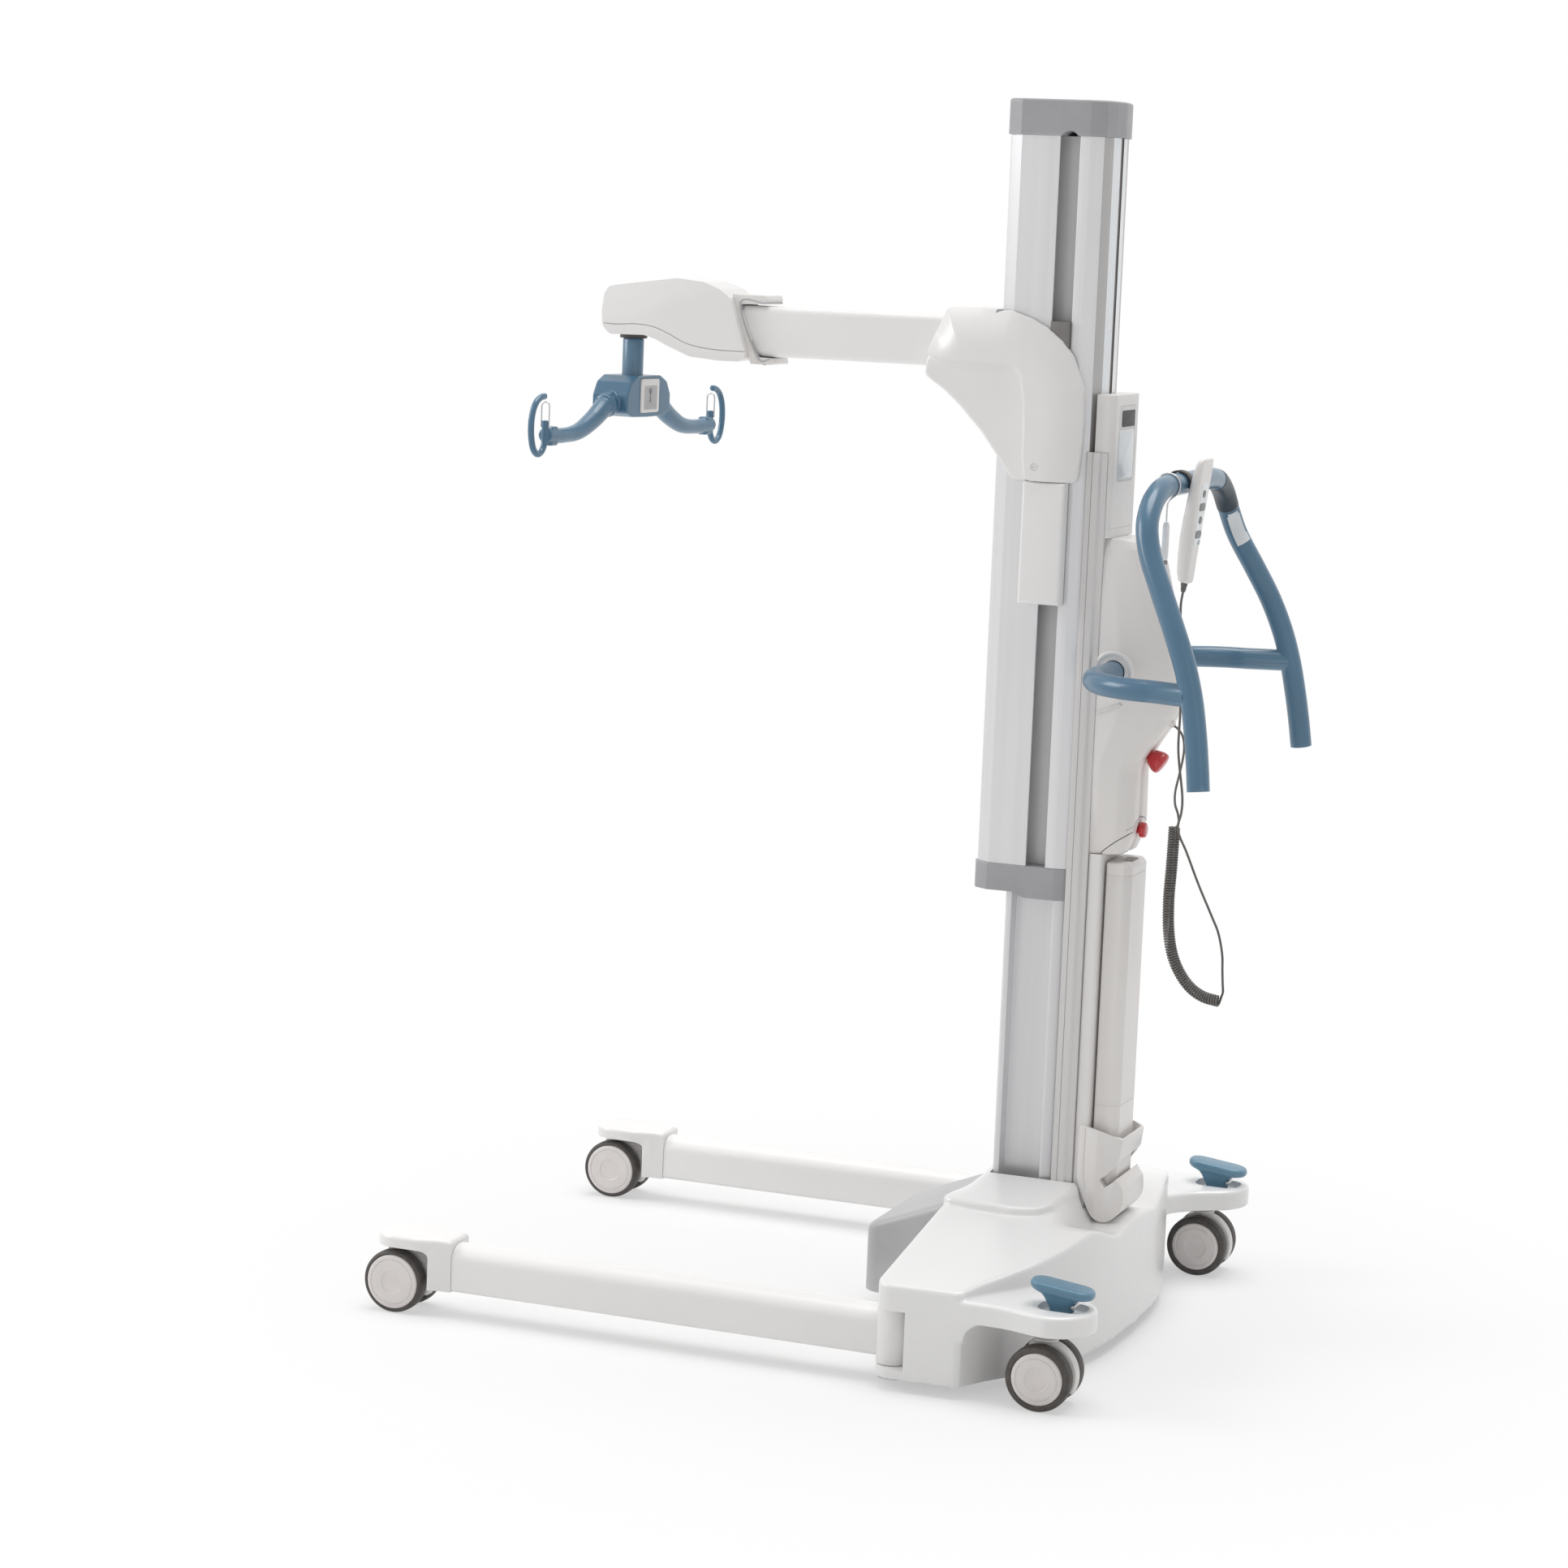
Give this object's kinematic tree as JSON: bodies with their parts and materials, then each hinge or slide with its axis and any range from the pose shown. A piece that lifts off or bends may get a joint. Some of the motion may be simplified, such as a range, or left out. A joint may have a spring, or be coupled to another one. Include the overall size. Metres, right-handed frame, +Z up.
{
  "type": "patient floor lift",
  "caption": "Mobile floor lift with a base on twin castors, opening legs, telescopic mast, boom, spreader bar with hooks, push handle and corded hand control.",
  "frame": {"origin": "centre of the bounding box in plan, on the floor under the castors", "axes": "+Z up, -Y the way the legs and the boom point, +X to the lift's left"},
  "size_m": [0.992, 1.2775, 1.913],
  "materials": {
    "white": "smooth warm white powder coat",
    "shaded_white": "moulded off-white plastic",
    "pale_grey": "pale grey coated extrusion",
    "mid_grey": "grey moulded plastic",
    "blue": "steel blue gloss coat",
    "blue_plastic": "steel blue moulded plastic",
    "steel": "bright steel",
    "red": "red moulded plastic",
    "dark": "dark grey low-friction plastic",
    "tyre": "grey-brown tread round a pale wheel disc",
    "cord": "grey-brown cord jacket"
  },
  "bodies": {
    "base": {"chassis": "steel", "base_cover": "white", "front_cover": "mid_grey", "leg_actuator": "steel", "fixed_column": "pale_grey", "rear_column": "pale_grey", "battery_bracket": "shaded_white", "status_cover": "shaded_white", "status_panel": "pale_grey", "control_housing": "shaded_white", "handle_frame": "blue", "battery_pocket": "shaded_white", "handset": "shaded_white", "handset_hook": "dark", "cord_lead": "cord", "cord_coil": "cord", "cord_tail": "cord"},
    "left_leg": {"leg_left": "white", "leg_hood_left": "shaded_white"},
    "right_leg": {"leg_right": "white", "leg_hood_right": "shaded_white"},
    "mast": {"moving_mast": "pale_grey", "mast_top_cap": "mid_grey", "mast_bottom_cap": "mid_grey", "lift_rod": "steel"},
    "carriage": {"elbow_housing": "white", "slide_block_left": "dark", "slide_block_right": "dark", "carriage_cover_left": "shaded_white", "carriage_cover_right": "shaded_white", "boom_tube": "white", "boom_cuff": "pale_grey", "boom_head": "shaded_white", "spindle_ring": "dark"},
    "spreader": {"spindle": "blue", "spreader_bar": "blue", "hub_plate": "shaded_white"},
    "left_gate": {"hook_gate_left": "steel"},
    "right_gate": {"hook_gate_right": "steel"},
    "fork_front_left": {"castor_fork_front_left": "shaded_white"},
    "fork_front_right": {"castor_fork_front_right": "shaded_white"},
    "fork_rear_left": {"castor_fork_rear_left": "shaded_white"},
    "fork_rear_right": {"castor_fork_rear_right": "shaded_white"},
    "outer_wheel_front_left": {"wheel_outer_front_left": "tyre"},
    "inner_wheel_front_left": {"wheel_inner_front_left": "tyre"},
    "outer_wheel_front_right": {"wheel_outer_front_right": "tyre"},
    "inner_wheel_front_right": {"wheel_inner_front_right": "tyre"},
    "outer_wheel_rear_left": {"wheel_outer_rear_left": "tyre"},
    "inner_wheel_rear_left": {"wheel_inner_rear_left": "tyre"},
    "outer_wheel_rear_right": {"wheel_outer_rear_right": "tyre"},
    "inner_wheel_rear_right": {"wheel_inner_rear_right": "tyre"},
    "left_pedal": {"brake_pedal_left": "blue_plastic"},
    "right_pedal": {"brake_pedal_right": "blue_plastic"},
    "stop": {"stop_button": "red"},
    "knob": {"lowering_knob": "red"},
    "battery": {"battery_pack": "shaded_white"},
    "top_key": {"handset_button_top": "mid_grey"},
    "upper_rocker": {"handset_rocker_upper": "mid_grey"},
    "low_key": {"handset_button_low": "mid_grey"},
    "lower_rocker": {"handset_rocker_lower": "mid_grey"}
  },
  "joints": [
    {"name": "left_leg_swing", "type": "hinge", "parent": "base", "child": "left_leg", "pos_m": [0.435, 0.2335, 0.08], "axis": [0, 0, 1], "range_deg": [0, 15]},
    {"name": "right_leg_swing", "type": "hinge", "parent": "base", "child": "right_leg", "pos_m": [-0.435, 0.2335, 0.08], "axis": [0, 0, 1], "range_deg": [-15, 0]},
    {"name": "mast_slide", "type": "slide", "parent": "base", "child": "mast", "axis": [0, 0, 1], "range_m": [-0.37, 0.26]},
    {"name": "carriage_slide", "type": "slide", "parent": "mast", "child": "carriage", "axis": [0, 0, 1], "range_m": [-0.37, 0.26]},
    {"name": "spreader_turn", "type": "hinge", "parent": "carriage", "child": "spreader", "pos_m": [0, -0.4325, 1.43], "axis": [0, 0, 1], "continuous": true},
    {"name": "left_gate_hinge", "type": "hinge", "parent": "spreader", "child": "left_gate", "pos_m": [0.27545, -0.4566, 1.384], "axis": [0.0872, 0.9962, 0], "range_deg": [0, 35], "stiffness_Nm_per_rad": 0.02, "springref_deg": -5.73},
    {"name": "right_gate_hinge", "type": "hinge", "parent": "spreader", "child": "right_gate", "pos_m": [-0.27545, -0.4084, 1.384], "axis": [0.0872, 0.9962, 0], "range_deg": [-35, 0], "stiffness_Nm_per_rad": 0.02, "springref_deg": 5.73},
    {"name": "front_left_swivel", "type": "hinge", "parent": "left_leg", "child": "fork_front_left", "pos_m": [0.4195, -0.5895, 0.1], "axis": [0, 0, 1], "continuous": true},
    {"name": "front_right_swivel", "type": "hinge", "parent": "right_leg", "child": "fork_front_right", "pos_m": [-0.4195, -0.5895, 0.1], "axis": [0, 0, 1], "continuous": true},
    {"name": "rear_left_swivel", "type": "hinge", "parent": "base", "child": "fork_rear_left", "pos_m": [0.43, 0.4715, 0.1], "axis": [0, 0, 1], "continuous": true},
    {"name": "rear_right_swivel", "type": "hinge", "parent": "base", "child": "fork_rear_right", "pos_m": [-0.43, 0.4715, 0.1], "axis": [0, 0, 1], "continuous": true},
    {"name": "front_left_outer_roll", "type": "hinge", "parent": "fork_front_left", "child": "outer_wheel_front_left", "pos_m": [0.448, -0.5895, 0.05], "axis": [1, 0, 0], "continuous": true},
    {"name": "front_left_inner_roll", "type": "hinge", "parent": "fork_front_left", "child": "inner_wheel_front_left", "pos_m": [0.391, -0.5895, 0.05], "axis": [1, 0, 0], "continuous": true},
    {"name": "front_right_outer_roll", "type": "hinge", "parent": "fork_front_right", "child": "outer_wheel_front_right", "pos_m": [-0.448, -0.5895, 0.05], "axis": [1, 0, 0], "continuous": true},
    {"name": "front_right_inner_roll", "type": "hinge", "parent": "fork_front_right", "child": "inner_wheel_front_right", "pos_m": [-0.391, -0.5895, 0.05], "axis": [1, 0, 0], "continuous": true},
    {"name": "rear_left_outer_roll", "type": "hinge", "parent": "fork_rear_left", "child": "outer_wheel_rear_left", "pos_m": [0.4585, 0.4715, 0.05], "axis": [1, 0, 0], "continuous": true},
    {"name": "rear_left_inner_roll", "type": "hinge", "parent": "fork_rear_left", "child": "inner_wheel_rear_left", "pos_m": [0.4015, 0.4715, 0.05], "axis": [1, 0, 0], "continuous": true},
    {"name": "rear_right_outer_roll", "type": "hinge", "parent": "fork_rear_right", "child": "outer_wheel_rear_right", "pos_m": [-0.4585, 0.4715, 0.05], "axis": [1, 0, 0], "continuous": true},
    {"name": "rear_right_inner_roll", "type": "hinge", "parent": "fork_rear_right", "child": "inner_wheel_rear_right", "pos_m": [-0.4015, 0.4715, 0.05], "axis": [1, 0, 0], "continuous": true},
    {"name": "left_pedal_rock", "type": "hinge", "parent": "base", "child": "left_pedal", "pos_m": [0.43, 0.493, 0.1465], "axis": [1, 0, 0], "range_deg": [-8, 8]},
    {"name": "right_pedal_rock", "type": "hinge", "parent": "base", "child": "right_pedal", "pos_m": [-0.43, 0.493, 0.1465], "axis": [1, 0, 0], "range_deg": [-8, 8]},
    {"name": "stop_press", "type": "slide", "parent": "base", "child": "stop", "axis": [0, -0.8387, 0.5446], "range_m": [0, 0.003]},
    {"name": "knob_pull", "type": "slide", "parent": "base", "child": "knob", "axis": [0, 1, 0], "range_m": [0, 0.006], "stiffness_N_per_m": 500},
    {"name": "battery_tilt", "type": "hinge", "parent": "base", "child": "battery", "pos_m": [0, 0.453, 0.232], "axis": [-1, 0, 0], "range_deg": [0, 6]},
    {"name": "top_key_press", "type": "slide", "parent": "base", "child": "top_key", "axis": [0, -0.9949, 0.1011], "range_m": [0, 0.0012], "stiffness_N_per_m": 800},
    {"name": "upper_rocker_tilt", "type": "hinge", "parent": "base", "child": "upper_rocker", "pos_m": [0.055, 0.5355, 1.312], "axis": [0, 0.1011, 0.9949], "range_deg": [-3, 3], "stiffness_Nm_per_rad": 0.5},
    {"name": "low_key_press", "type": "slide", "parent": "base", "child": "low_key", "axis": [0, -0.9949, 0.1011], "range_m": [0, 0.0012], "stiffness_N_per_m": 800},
    {"name": "lower_rocker_tilt", "type": "hinge", "parent": "base", "child": "lower_rocker", "pos_m": [0.055, 0.5312, 1.2703], "axis": [0, 0.1011, 0.9949], "range_deg": [-3, 3], "stiffness_Nm_per_rad": 0.5}
  ],
  "couplings": [
    {"joint": "right_leg_swing", "follows": "left_leg_swing", "ratio": -1},
    {"joint": "carriage_slide", "follows": "mast_slide", "ratio": 1}
  ]
}
